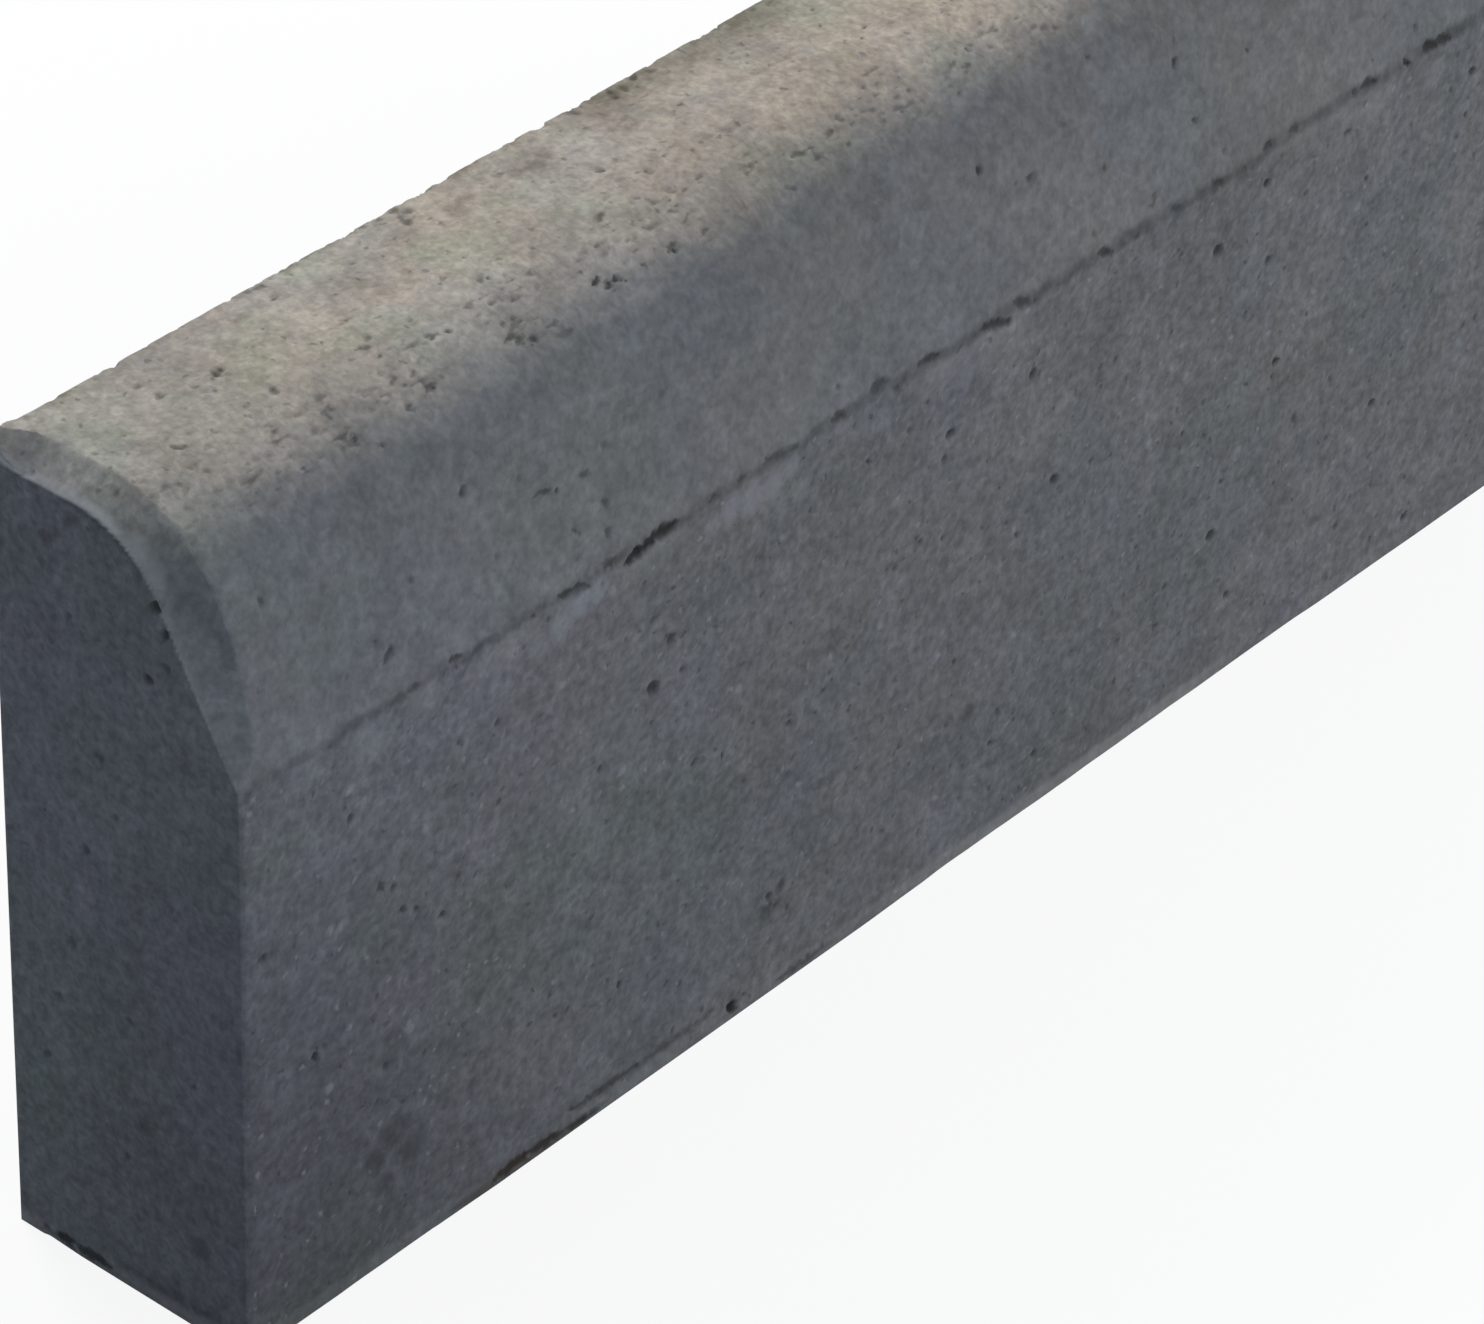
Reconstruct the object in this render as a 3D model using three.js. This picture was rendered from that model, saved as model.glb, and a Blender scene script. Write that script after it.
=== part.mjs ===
// A kerb stone: one straight length of pressed concrete with a rounded nose.
//
// It is cast standing up. The mould box makes the bed, the walls, the ends and the upright
// corners. A tamper comes down from above and stamps the rest: the crown, the rounded nose along
// the front, and a bevel round the nose at each end. The two meet in the mould line, which runs
// along the front wall. The bevel follows the nose and runs out to nothing at that line, so the
// corners below it are plain upright ones.
//
// Millimetres. +X runs along the kerb, -Y is the front, +Z is up. The origin is the middle of the
// bed face.

import * as THREE from "three";

// Overall size.
const LENGTH = 1000;
const WIDTH = 100;
const HEIGHT = 300;

// Nose, the same along the whole kerb: a leaning flank and a round that blends into the crown.
const NOSE_DEPTH = 83;
const FLANK_LEAN = THREE.MathUtils.degToRad(14);
const NOSE_RADIUS = 53;

// End bevel: how far it reaches along the kerb, how far it drops, and the outline that it leaves
// on the end face. Above the mould line it takes some height to come to its full width.
const BEVEL_RUN = 10;
const BEVEL_DROP = 10;
const END_LEAN = THREE.MathUtils.degToRad(31);
const END_RADIUS = 37;
const RUN_OUT_HEIGHT = 16;

// Round of the four upright corners, left by the corners of the mould box.
const CORNER_RADIUS = 1.5;

// Fineness of the faceting.
const FLANK_STEPS = 14;
const NOSE_STEPS = 24;
const CORNER_STEPS = 4;

// Levels and planes that follow from those sizes.
const FRONT = -WIDTH / 2;
const BACK = WIDTH / 2;
const MOULD_LINE = HEIGHT - NOSE_DEPTH;
const BEVEL_FOOT = HEIGHT - BEVEL_DROP;

const CONCRETE = new THREE.MeshStandardMaterial({
  color: "#5d6064",
  roughness: 0.92,
  metalness: 0,
});

// Outline of the nose across the kerb, as (y, z) points from its foot on the mould line up to the
// level top: a straight flank that leans back, then an arc that touches both the flank and the top.
function noseOutline(footY, lean, radius, top) {
  const shoulderZ = top - radius + radius * Math.sin(lean);
  const shoulderY = footY + (shoulderZ - MOULD_LINE) * Math.tan(lean);
  const foot = new THREE.Vector2(footY, MOULD_LINE);
  const shoulder = new THREE.Vector2(shoulderY, shoulderZ);
  const centreY = shoulderY + radius * Math.cos(lean);
  const flank = new THREE.LineCurve(foot, shoulder);
  const round = new THREE.EllipseCurve(
    centreY, top - radius, radius, radius, Math.PI - lean, Math.PI / 2, true,
  );
  return [...flank.getPoints(FLANK_STEPS), ...round.getPoints(NOSE_STEPS).slice(1)];
}

// Quarter round of an upright corner in plan, from the end face (step 0) to the wall (step 1):
// how far the point lies in from the end face and in from the wall.
function cornerRound(step) {
  const turn = step * Math.PI / 2;
  return {
    end: CORNER_RADIUS * (1 - Math.cos(turn)),
    wall: CORNER_RADIUS * (1 - Math.sin(turn)),
  };
}

// How far the bevel reaches along the kerb at a given height above the mould line.
function bevelReach(rise) {
  const grown = Math.sin(Math.min(rise / RUN_OUT_HEIGHT, 1) * Math.PI / 2);
  return THREE.MathUtils.lerp(CORNER_RADIUS, BEVEL_RUN, grown);
}

// Triangles of the closed surface, gathered face by face. The corners of each face are given
// anticlockwise as seen from outside.
class Skin {
  constructor() {
    this.positions = [];
  }

  triangle(a, b, c) {
    this.positions.push(...a.toArray(), ...b.toArray(), ...c.toArray());
  }

  // A flat face with any number of corners, filled from its middle.
  face(loop) {
    const middle = new THREE.Vector3();
    loop.forEach((corner) => middle.addScaledVector(corner, 1 / loop.length));
    loop.forEach((corner, i) => this.triangle(middle, corner, loop[(i + 1) % loop.length]));
  }

  // A curved strip through rows of points, each row running left to right below the next.
  strip(rows) {
    for (let k = 0; k + 1 < rows.length; k += 1) {
      for (let j = 0; j + 1 < rows[k].length; j += 1) {
        this.triangle(rows[k][j], rows[k][j + 1], rows[k + 1][j + 1]);
        this.triangle(rows[k][j], rows[k + 1][j + 1], rows[k + 1][j]);
      }
    }
  }

  // Another skin seen in a mirror that stands across the middle of the length.
  addMirrored(other) {
    for (let i = 0; i < other.positions.length; i += 9) {
      const [ax, ay, az, bx, by, bz, cx, cy, cz] = other.positions.slice(i, i + 9);
      this.positions.push(-ax, ay, az, -cx, cy, cz, -bx, by, bz);
    }
  }

  geometry() {
    const geometry = new THREE.BufferGeometry();
    geometry.setAttribute("position", new THREE.Float32BufferAttribute(this.positions, 3));
    geometry.computeVertexNormals();
    return geometry;
  }
}

// A point given by its distance from the left-hand end face, and the same point at the other end.
function fromEnd(distance, y, z) {
  return new THREE.Vector3(distance - LENGTH / 2, y, z);
}

function mirrored(point) {
  return new THREE.Vector3(-point.x, point.y, point.z);
}

// Steps across an upright corner, from the end face (0) to the wall (1).
const cornerSteps = Array.from({ length: CORNER_STEPS + 1 }, (_, j) => j / CORNER_STEPS);

// One level of an upright corner: side is -1 for the front corner and 1 for the back one, and
// level gives the height from the distance to the end face.
function cornerRow(side, level) {
  return cornerSteps.map((step) => {
    const inset = cornerRound(step);
    return fromEnd(inset.end, side * (WIDTH / 2 - inset.wall), level(inset.end));
  });
}

// The bevel over the nose, as rows of points that each run from the end face to the nose. A row is
// straight, except that the lowest ones still carry the round of the upright corner under them.
function noseBevel() {
  const endOutline = noseOutline(FRONT + CORNER_RADIUS, END_LEAN, END_RADIUS, BEVEL_FOOT);
  const outline = noseOutline(FRONT, FLANK_LEAN, NOSE_RADIUS, HEIGHT);
  return outline.map((onNose, k) => {
    const onEnd = endOutline[k];
    const rise = onNose.y - MOULD_LINE;
    const reach = bevelReach(rise);
    const roundness = Math.max(1 - rise / RUN_OUT_HEIGHT, 0);
    return cornerSteps.map((step) => {
      const inset = cornerRound(step);
      const bulgeAlong = roundness * (inset.end - CORNER_RADIUS * step);
      const bulgeAcross = roundness * (inset.wall - CORNER_RADIUS * (1 - step));
      const across = THREE.MathUtils.lerp(onEnd.x, onNose.x, step) + bulgeAcross;
      return fromEnd(reach * step + bulgeAlong, across, THREE.MathUtils.lerp(onEnd.y, onNose.y, step));
    });
  });
}

// Everything at the left-hand end, up to where the long faces begin: the rows that those faces
// share with it, and the end's own skin.
function leftEnd() {
  const onBed = () => 0;
  const onBevel = (distance) => BEVEL_FOOT + distance * BEVEL_DROP / BEVEL_RUN;
  const bevel = noseBevel();
  const frontFoot = cornerRow(-1, onBed);
  const backFoot = cornerRow(1, onBed);
  const backTop = cornerRow(1, onBevel);
  const crownBack = fromEnd(BEVEL_RUN, BACK, HEIGHT);

  const skin = new Skin();
  const endOutline = bevel.map((row) => row[0]);
  skin.face([frontFoot[0], ...endOutline, backTop[0], backFoot[0]]);
  skin.strip([frontFoot, ...bevel]);
  skin.strip([backFoot.toReversed(), backTop.toReversed()]);
  skin.face([...bevel.at(-1), crownBack, ...backTop.toReversed()]);

  const noseEdge = bevel.map((row) => row.at(-1));
  return { skin, frontFoot, backFoot, backTop, crownBack, noseEdge };
}

// The whole kerb: both ends, and between them the front wall, nose, crown, back wall and bed.
function kerbStone() {
  const end = leftEnd();
  const skin = new Skin();
  skin.positions.push(...end.skin.positions);
  skin.addMirrored(end.skin);

  const frontEdge = [end.frontFoot.at(-1), ...end.noseEdge, end.crownBack];
  skin.strip(frontEdge.map((point) => [point, mirrored(point)]));

  const backEdge = [end.backFoot.at(-1), end.backTop.at(-1), end.crownBack];
  skin.strip(backEdge.map((point) => [mirrored(point), point]));

  const bedEdge = [...end.frontFoot.toReversed(), ...end.backFoot];
  skin.face([...bedEdge, ...bedEdge.map(mirrored).toReversed()]);

  const kerb = new THREE.Mesh(skin.geometry(), CONCRETE);
  kerb.name = "kerb_stone";
  return kerb;
}

const group = new THREE.Group();
group.add(kerbStone());

export default group;
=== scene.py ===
"""A pressed concrete kerb stone: its weathered skin, its finish, and the studio it stands in.

The stone is one casting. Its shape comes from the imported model, and this script gives it the skin
that the real one has: faces that are not quite flat, arrises that have crumbled a little, blow
holes, and the torn mould line along the front. All lengths in the classes are in millimetres, and
every mesh is in metres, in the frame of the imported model.
"""

import logging
import math
import random
from dataclasses import dataclass
from enum import Enum
from functools import partial
from typing import Any

import bmesh
import bpy
from bpy.types import Material, Mesh, Node, NodeSocket, NodeTree, Object
from mathutils import Matrix, Vector


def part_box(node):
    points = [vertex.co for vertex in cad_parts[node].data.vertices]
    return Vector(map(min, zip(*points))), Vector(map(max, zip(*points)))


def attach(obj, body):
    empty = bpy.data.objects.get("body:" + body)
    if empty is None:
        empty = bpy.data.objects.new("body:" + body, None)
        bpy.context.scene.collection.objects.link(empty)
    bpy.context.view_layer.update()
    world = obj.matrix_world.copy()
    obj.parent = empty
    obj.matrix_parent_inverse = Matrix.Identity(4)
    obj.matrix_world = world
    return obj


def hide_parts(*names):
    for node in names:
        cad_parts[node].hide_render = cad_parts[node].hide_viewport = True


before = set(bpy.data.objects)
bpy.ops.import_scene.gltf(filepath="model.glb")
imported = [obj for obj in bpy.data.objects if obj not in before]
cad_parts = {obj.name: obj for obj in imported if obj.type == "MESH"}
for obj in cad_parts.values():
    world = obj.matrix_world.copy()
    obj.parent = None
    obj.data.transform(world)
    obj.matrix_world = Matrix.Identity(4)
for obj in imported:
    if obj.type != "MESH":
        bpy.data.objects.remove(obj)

log = logging.getLogger("kerb")

MM = 0.001
NODE = "kerb_stone"
KEPT = "kept"
Triple = tuple[float, float, float]

# Kinds of node: Blender's name for the type, and with some of them settings and their values.
MATH = "ShaderNodeMath operation"
VECTOR = "ShaderNodeVectorMath operation"
NOISE = "ShaderNodeTexNoise"
LINE_NOISE = "ShaderNodeTexNoise noise_dimensions 1D"
CELLS = "ShaderNodeTexVoronoi"
RANGE = "ShaderNodeMapRange"
SMOOTH = "ShaderNodeMapRange interpolation_type SMOOTHSTEP"
MIX = "ShaderNodeMix"
BLEND = "ShaderNodeMix data_type RGBA"
TINT = "ShaderNodeMix data_type RGBA blend_type MULTIPLY"
SPLIT = "ShaderNodeSeparateXYZ"
JOIN = "ShaderNodeCombineXYZ"
PLUS = f"{MATH} ADD"
MINUS = f"{MATH} SUBTRACT"
TIMES = f"{MATH} MULTIPLY"
OVER = f"{MATH} DIVIDE"
POWER = f"{MATH} POWER"
MOST = f"{MATH} MAXIMUM"
ABOVE = f"{MATH} GREATER_THAN"
UNSIGNED = f"{MATH} ABSOLUTE"
SHIFT = f"{VECTOR} ADD"
SHIFT_BACK = f"{VECTOR} SUBTRACT"
STRETCH = f"{VECTOR} MULTIPLY"
KEEP_OVER = f"{VECTOR} MAXIMUM"
KEEP_UNDER = f"{VECTOR} MINIMUM"
DISTANCE = f"{VECTOR} DISTANCE"
LENGTH = f"{VECTOR} LENGTH"
MOVE = "GeometryNodeSetPosition"
STORE = "GeometryNodeStoreNamedAttribute"
OBJECT = "GeometryNodeObjectInfo"


def add(tree: NodeTree, kind: str, *feeds: Any, **settings: Any) -> Node:
    """Add one node with its settings and its links.

    Args:
        tree: Node tree that gets the node.
        kind: Kind of node from the list above, or Blender's name for the type.
        feeds: What goes into each shown input, in order: a node, a socket, a plain value, or None
            to leave it. What is left over goes, after the node, into another node of its kind.
        settings: More of the node's own properties, by name.

    Returns:
        The new node, or the last of them.
    """
    name, *words = kind.split()
    node = tree.nodes.new(name)
    for setting, value in (*zip(words[::2], words[1::2]), *settings.items()):
        setattr(node, setting, value)
    shown = [socket for socket in node.inputs if socket.enabled]
    for socket, feed in zip(shown, feeds):
        if isinstance(feed, Node):
            feed = next(output for output in feed.outputs if output.enabled)
        if isinstance(feed, NodeSocket):
            tree.links.new(feed, socket)
        elif feed is not None:
            socket.default_value = feed
    left = feeds[len(shown) :]
    return add(tree, kind, node, *left, **settings) if left else node


def past(base: float, *steps: float) -> tuple[float, ...]:
    """Return the places, in metres, that lie these millimetres past a place in metres."""
    return tuple(base + step * MM for step in steps)


def span(tree: NodeTree, place: Any, base: float, *ends: float) -> Node:
    """Add the nodes that come in and go out again along one way.

    Args:
        tree: Node tree that gets the nodes.
        place: Node or socket with the place along that way, in metres.
        base: Where the ends are measured from, in metres.
        ends: Where it comes in, is full, starts to go out and is gone, in millimetres.

    Returns:
        The node that gives 1 within the stretch and 0 outside it.
    """
    begin, full, last, stop = past(base, *ends)
    coming = add(tree, RANGE, place, begin, full)
    return add(tree, TIMES, coming, add(tree, RANGE, place, stop, last))


def linear(code: str) -> tuple[float, float, float, float]:
    """Return the linear red, green, blue and alpha of an sRGB hex colour."""
    levels = [int(code[place : place + 2], 16) / 255 for place in (1, 3, 5)]
    return (*(v / 12.92 if v <= 0.04045 else ((v + 0.055) / 1.055) ** 2.4 for v in levels), 1.0)


def per_metre(grain: float) -> float:
    """Return the noise scale whose grains are this many millimetres across."""
    return 1.0 / (grain * MM)


def plain_mesh(obj: Object, name: str) -> Mesh:
    """Work an object's modifiers into a plain mesh.

    Args:
        obj: The object, with its modifiers.
        name: What to call the mesh.

    Returns:
        The new mesh.
    """
    graph = bpy.context.evaluated_depsgraph_get()
    mesh = bpy.data.meshes.new_from_object(obj.evaluated_get(graph))
    mesh.name = name
    return mesh


def place_object(name: str, data: Any) -> Object:
    """Put a new object at the scene's origin.

    Args:
        name: What to call the object.
        data: Its mesh, lamp or camera.

    Returns:
        The new object.
    """
    obj = bpy.data.objects.new(name, data)
    bpy.context.scene.collection.objects.link(obj)
    return obj


class Face(Enum):
    """Face of the stone that a flaw is measured on."""

    WALL = "front wall"
    NOSE = "nose"
    END = "left end"


@dataclass(frozen=True)
class KerbOutline:
    """Where the faces of the kerb are, in millimetres, as the mould gives them."""

    length: float
    width: float
    height: float
    mould_line: float = 217.0
    flank_lean: float = 14.0
    nose_radius: float = 53.0

    @classmethod
    def from_box(cls, low: tuple, high: tuple) -> "KerbOutline":
        """Return the outline whose length, width and height are those of a box in metres."""
        return cls(*((top - foot) / MM for foot, top in zip(low, high)))

    def edges(self) -> tuple[float, float, float, float]:
        """Return where the right end, back wall, mould line and crown are, in metres."""
        return self.length * MM / 2, self.width * MM / 2, self.mould_line * MM, self.height * MM

    def nose_point(self, rise: float) -> tuple[float, float]:
        """Find a point on the nose.

        Args:
            rise: Distance up the nose from the mould line, along its surface. Below the line it
                is less than nothing, and goes down the wall.

        Returns:
            The point's distance behind the front wall, and its height.
        """
        lean, radius = math.radians(self.flank_lean), self.nose_radius
        shoulder = self.height - radius * (1 - math.sin(lean))
        flank = (shoulder - self.mould_line) / math.cos(lean)
        centre = flank * math.sin(lean) + radius * math.cos(lean)
        turn = lean + max(rise - flank, 0.0) / radius
        if rise < 0:
            return 0.0, self.mould_line + rise
        if rise <= flank:
            return rise * math.sin(lean), self.mould_line + rise * math.cos(lean)
        if turn < math.pi / 2:
            behind = centre - radius * math.cos(turn)
            return behind, self.height - radius * (1 - math.sin(turn))
        return centre + (turn - math.pi / 2) * radius, self.height

    def place(self, face: Face, run: float, rise: float) -> Vector:
        """Find a point on a face.

        Args:
            face: Face that the two distances are measured on.
            run: Distance from the left end, or on the end from the front wall.
            rise: Height over the bed, or on the nose the distance up it from the mould line.

        Returns:
            The point in the frame, in metres.
        """
        if face is Face.END:
            return Vector((-self.length / 2, run - self.width / 2, rise)) * MM
        behind, height = self.nose_point(rise) if face is Face.NOSE else (0.0, rise)
        return Vector((run - self.length / 2, behind - self.width / 2, height)) * MM


@dataclass(frozen=True)
class Flaw:
    """One small flaw in the skin: a hole, or with a negative depth a proud grain of sand."""

    face: Face
    run: float
    rise: float
    reach: float
    depth: float
    tone: float


@dataclass(frozen=True)
class Tear:
    """A long flaw where the skin tore or is stained, in millimetres.

    It goes from one run to another and from one rise to another, as a flaw's are measured, and its
    shape is its depth as a share of its reach.
    """

    start: float
    end: float
    first_rise: float
    last_rise: float
    reach: float
    tone: float = 1.0
    shape: float = 0.6
    face: Face = Face.NOSE


def rows(text: str) -> list[list[float]]:
    """Return the rows of numbers in a text that has commas between the rows."""
    return [[float(word) for word in row.split()] for row in text.split(",")]


def flaws(face: Face, shape: float, tone: float, text: str) -> list[Flaw]:
    """Return the flaws in the rows of a text, with their depth as this share of their reach."""
    return [Flaw(face, run, rise, reach, reach * shape, tone) for run, rise, reach in rows(text)]


# Flaws: face, depth as a share of the reach, tone from 0 to 1, and rows of run, rise and reach.
BLOW_HOLES = [
    *flaws(Face.WALL, 0.55, 0.95, "231 4.5 2.9, 518 124 2"),
    *flaws(Face.WALL, 0.55, 0.72, """
        186 158 2.9, 333 183 2.3, 376 186 1.9, 477 188 2.7, 503 203 2.2, 392 136 2.4, 487 66 2.5,
        517 118 1.4, 582 76 1.9, 625 195 2.2, 31 102 1.8
    """),
    *flaws(Face.WALL, 0.55, 0.6, """
        200 158 1.6, 194 173 2.1, 8 153 1.6, 207 118 1.7, 255 108 1.6, 272 112 1.4, 60 151 1.3,
        66 147 1.6, 70 136 1.7, 76 133 1.4, 88 124 1.7, 112 184 1.5, 142 53 1.4, 139 63 1.3,
        248 41 1.8, 252 35 1.5, 290 193 1.5, 320 147 1.6, 307 143 1.3, 391 23 1.7, 478 112 1.6,
        533 93 1.8, 500 34 2.1, 567 30 1.7, 458 42 1.8, 490 87 1.3, 508 170 2, 624 178 1.6,
        612 12 2, 564 178 1.6, 422 170 1.3, 373 123 1.5, 412 134 1.3, 47 183 1.7, 549 203 1.7,
        365 41 1.3, 161 140 1.4
    """),
    *flaws(Face.WALL, 0.45, 0.4, """
        185 185 1.6, 221 113 1.4, 95 186 1.2, 258 31 1.2, 310 195 1.2, 342 87 1.3, 340 62 1.2
    """),
    *flaws(Face.NOSE, 0.5, 0.75, """
        110 50 1.6, 357 52 1.8, 460 49 1.7, 147 33 1.5, 117 82 1.7, 226 81 1.7, 68 126 2.1,
        70 127 1.8
    """),
    *flaws(Face.NOSE, 0.4, 0.5, """
        166 20 1.7, 165 10 1.6, 417 28 1.5, 81 80 1.5, 48 130 1.9, 73 107 1.9, 32 107 1.6,
        170 143 2.4, 174 147 2.2, 163 104 1.4, 212 102 1.5, 24 53 1.7, 82 33 1.3, 462 56 1.3,
        380 40 1.5, 408 8 1.7, 440 8 1.4, 113 107 1.6, 154 83 1.8, 130 96 1.7
    """),
    *flaws(Face.NOSE, 0.3, 0.25, """
        132 43 1.7, 170 38 1.6, 412 82 1.8, 198 42 1.5, 151 8 1.6, 118 24 1.4, 223 38 1.5,
        400 50 1.7
    """),
    *flaws(Face.END, 0.7, 0.72, "34.6 267.8 2.8, 30.6 259.8 2.6, 37.8 240.3 2.4"),
    *flaws(Face.END, 0.4, 0.42, """
        65.8 164 2.5, 73.3 125 2.5, 30 248 2.4, 58.3 202 2.3, 60 155 1.6, 79.7 101 2.2,
        85.3 75 2.1, 48.3 107 1.6, 51.7 53 2, 52.5 183 1.8, 70 248 1.8, 31 13 1.7
    """),
]

BACK_ARRIS_BREAKS = [
    *flaws(Face.NOSE, 0.15, 0.55, """
        107 151 1.6, 111 150 1.8, 158 151 1.7, 164 150 1.7, 171 150 2.1, 170 146 1.9, 253 150 1.9,
        290 149 1.8, 306 149 1.5, 342 150 1.8, 349 149 1.6, 280 145 1.4
    """),
    *flaws(Face.NOSE, 0.2, 0.9, "271 149 2.4, 276 148 2.1, 283 150 2.3, 270 146 2"),
    *flaws(Face.NOSE, 0.1, 0.28, "117 151 1.6, 265 150 1.7, 313 150 1.2, 318 149 1.5, 334 149 1.7"),
]

SMUDGES = [
    *flaws(Face.NOSE, 0.03, 0.34, """
        185 137 5, 191 139 3.8, 213 138 3.8, 221 136 4.6, 228 139 4, 171 76 3.2, 381 39 3.4
    """),
    *flaws(Face.END, 0.03, 0.36, "20 33 4.8, 43 68 3.8, 78 272 3.6, 68 284 3.2"),
    *flaws(Face.WALL, 0.03, 0.42, """
        57 44 6, 66 50 8, 74 40 7.5, 62 33 4, 248 36 4.5, 254 42 3.2, 352 62 4
    """),
]

SAND_GRAINS = flaws(Face.WALL, -0.1, 0.45, """
    300 124 1.9, 445 125 2.4, 560 168 2.5, 332 94 2.2, 37 86 2, 73 88 2.3, 363 210 2.2, 190 125 2,
    228 136 2, 42 145 2.3, 38 147 1.8, 80 162 2.2, 464 143 1.8, 552 162 2, 172 134 2.2, 261 80 1.7,
    165 206 2.4, 247 185 1.6, 500 96 1.8
""")

LIME_PATCHES = [
    *flaws(Face.WALL, -0.02, 0.22, """
        53 209 6.5, 58 205 5, 131 204 5, 212 206 5, 296 207 5, 340 202 4.5, 600 205 6, 256 199 5,
        178 193 4.5
    """),
    *flaws(Face.WALL, -0.02, 0.42, """
        141 206 6, 150 209 6, 159 210 5.5, 221 209 6, 231 208 6.5, 241 208 6, 250 211 4.5
    """),
]

# Tears: rows of start, end, first and last rise, reach, tone, and at the foot the shape.
MOULD_TEARS = [Tear(*row) for row in rows("""
    63 71 -0.4 -0.4 1.7 0.25, 72 77 0.3 -0.3 1.9 0.5, 91 96 1.4 1 2 0.65, 100 110 0 0 1.6 0.2,
    130 134 0.3 -0.2 1.7 0.35, 141 154 -0.8 -3.6 2.7 0.76, 161 166 0.5 0 2.1 0.5,
    171 184 -3.8 -1.6 3.1 0.94, 179 195 -1.4 -0.2 2.8 0.88, 211 214 0.6 0.4 1.8 0.52,
    225 228 1.4 1.2 1.8 0.5, 238 253 1.6 0.2 2.2 0.42, 271 277 1 0.6 2.2 0.68,
    291 297 2.8 3.4 3.2 0.55, 314 324 2 1 2 0.65, 347 362 0.2 -4 2.4 0.76,
    364 371 2.4 -0.8 2.9 0.55, 408 414 1 -1 2.4 0.65, 437 440 6 5 1.6 0.5,
    448 453 0.2 -0.8 1.7 0.35, 470 477 0.8 -1.4 1.8 0.5, 499 504 2.2 1 2 0.58,
    514 520 1.8 1.2 1.7 0.36, 556 565 1.6 0.4 2.3 0.72, 581 585 1 -2.4 2.4 0.95,
    593 600 0.8 -0.4 3.5 0.78, 601 608 0.8 -1.2 3.1 0.8
""")]

NOSE_TEARS = [Tear(*row) for row in rows("""
    78 82 79 78 1.4 0.4, 114 119 82 83 1.4 0.6, 150 153 84 82 1.3 0.65, 153 157 81 80 1.5 0.65,
    158 161 78 79 1.4 0.6, 169 174 76 75 1.6 0.35, 191 195 84 85 1.6 0.85, 194 198 81 82 1.7 0.9,
    199 203 83 80 1.6 0.75, 223 228 81 82 1.4 0.6, 233 237 91 92 1.3 0.5, 278 283 79 78 1.4 0.4,
    366 371 86 87 1.4 0.4, 372 375 84 83 1.4 0.5, 159 163 104 106 1.4 0.45,
    211 216 102 103 1.5 0.6, 107 111 105 104 1.3 0.55, 31 35 107 106 1.5 0.65,
    128 132 97 96 1.3 0.5, 136 147 36 33 1.2 0.6, 158 162 33 32 1.4 0.6, 107 111 50 49 1.4 0.65,
    150 154 18 16 1.3 0.5, 65 70 13 17 1.9 0.6
""")]

FOOT_STAINS = [Tear(*row, Face.WALL) for row in rows("""
    94 112 2 2.6 1.4 0.3 0.1, 113 129 3 4 2.4 1 0.1, 130 144 3.6 3 2.4 0.92 0.1,
    146 160 2.4 2 2 0.85 0.1, 151 186 8.8 8.6 1.9 0.65 0.05, 184 222 8.2 8.8 1.6 0.4 0.05,
    254 278 2.8 2.8 1.8 0.5 0.1
""")] + [Tear(*row, Face.END) for row in rows("""
    12 56 8 7 1.8 0.3 0.05, 59 75 3.2 3.6 2.2 0.85 0.1, 76 84 3.8 3.4 2.4 0.95 0.1,
    85 91 2.8 2.4 1.6 0.5 0.1
""")]


@dataclass(frozen=True)
class MouldLine:
    """The thin torn line where the mould box and the tamper met, in millimetres."""

    height: float
    long_wander: float = 2.8
    long_grain: float = 60.0
    short_wander: float = 1.7
    short_grain: float = 11.0
    width_grain: float = 17.0
    breaks_from: float = 7.0
    clear_from: tuple[float, float] = (-470.0, -300.0)

    def trace(self, tree: NodeTree, xyz: Node) -> tuple[Any, Any]:
        """Add the nodes that say how far a point is from the line, and how open the line is there.

        Args:
            tree: Node tree of the shape or of the finish.
            xyz: Node that gives the point's three coordinates.

        Returns:
            The nodes with the distance from the line in metres, and with its openness.
        """
        put = partial(add, tree)
        run, _, rise = xyz.outputs
        level = put(MINUS, rise, self.height * MM)
        swings = ((self.long_wander, self.long_grain), (self.short_wander, self.short_grain))
        for wander, grain in swings:
            wave = put(LINE_NOISE, run, per_metre(grain), 1.0)
            swing = put(RANGE, wave, 0.3, 0.7, -wander * MM / 2, wander * MM / 2)
            level = put(MINUS, level, swing)
        breaks = put(LINE_NOISE, put(PLUS, run, self.breaks_from), per_metre(self.width_grain), 2.0)
        clear = put(RANGE, run, *past(0, *self.clear_from), 0.6, 1.0)
        openness = put(TIMES, put(RANGE, breaks, 0.34, 0.62), clear)
        return put(UNSIGNED, level), openness


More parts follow.
